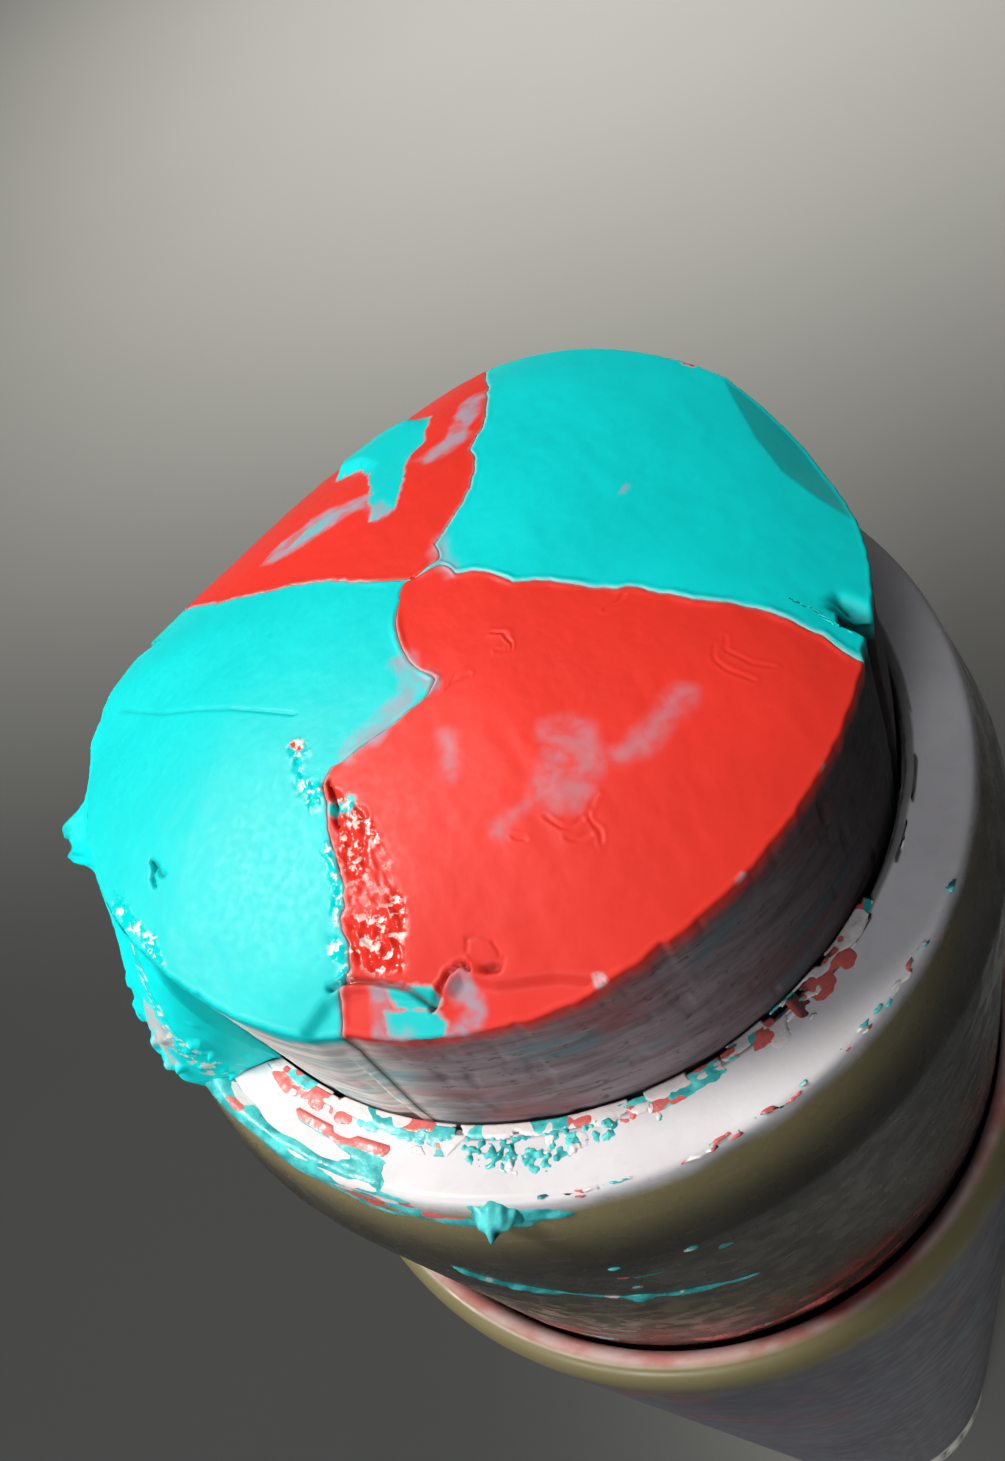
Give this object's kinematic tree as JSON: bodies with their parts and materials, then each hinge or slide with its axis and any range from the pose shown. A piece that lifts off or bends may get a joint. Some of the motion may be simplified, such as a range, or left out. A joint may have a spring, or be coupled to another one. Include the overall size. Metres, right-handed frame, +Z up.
{
  "type": "twist-up paint stick",
  "caption": "Uncapped twist-up stick of solid paint: a sleeved plastic tube whose ribbed foot turns a screw and lifts a two-colour stick.",
  "frame": {"origin": "centre of the ring that the knob's foot stands on", "axes": "+Z up along the tube, towards the stick; +Y towards the middle of the back red wedge's side"},
  "size_m": [0.0178, 0.0178, 0.0908],
  "materials": {
    "natural_plastic": "translucent natural moulding, satin",
    "sleeve_plastic": "satin slate grey, with a paler lip that is smudged with paint",
    "knob_plastic": "satin moulding",
    "white_plastic": "plain moulding",
    "red_paint": "waxy solid paint, worn and smeared",
    "turquoise_paint": "waxy solid paint, worn and smeared"
  },
  "bodies": {
    "tube": {"inner_tube": "natural_plastic", "outer_sleeve": "sleeve_plastic", "rim_paint_deposit": "turquoise_paint"},
    "twist_base": {"base_knob": "knob_plastic", "feed_screw": "white_plastic"},
    "carriage": {"carrier_cup": "white_plastic", "paint_red_front": "red_paint", "paint_turquoise_right": "turquoise_paint", "paint_red_back": "red_paint", "paint_turquoise_left": "turquoise_paint"}
  },
  "joints": [
    {"name": "base_twist", "type": "hinge", "parent": "tube", "child": "twist_base", "pos_m": [0, 0, 0], "axis": [0, 0, -1], "range_deg": [-1261, 3152]},
    {"name": "carriage_slide", "type": "slide", "parent": "tube", "child": "carriage", "axis": [0, 0, 1], "range_m": [-0.014, 0.035]}
  ],
  "couplings": [
    {"joint": "base_twist", "follows": "carriage_slide", "rad_per_m": 1570.8}
  ]
}
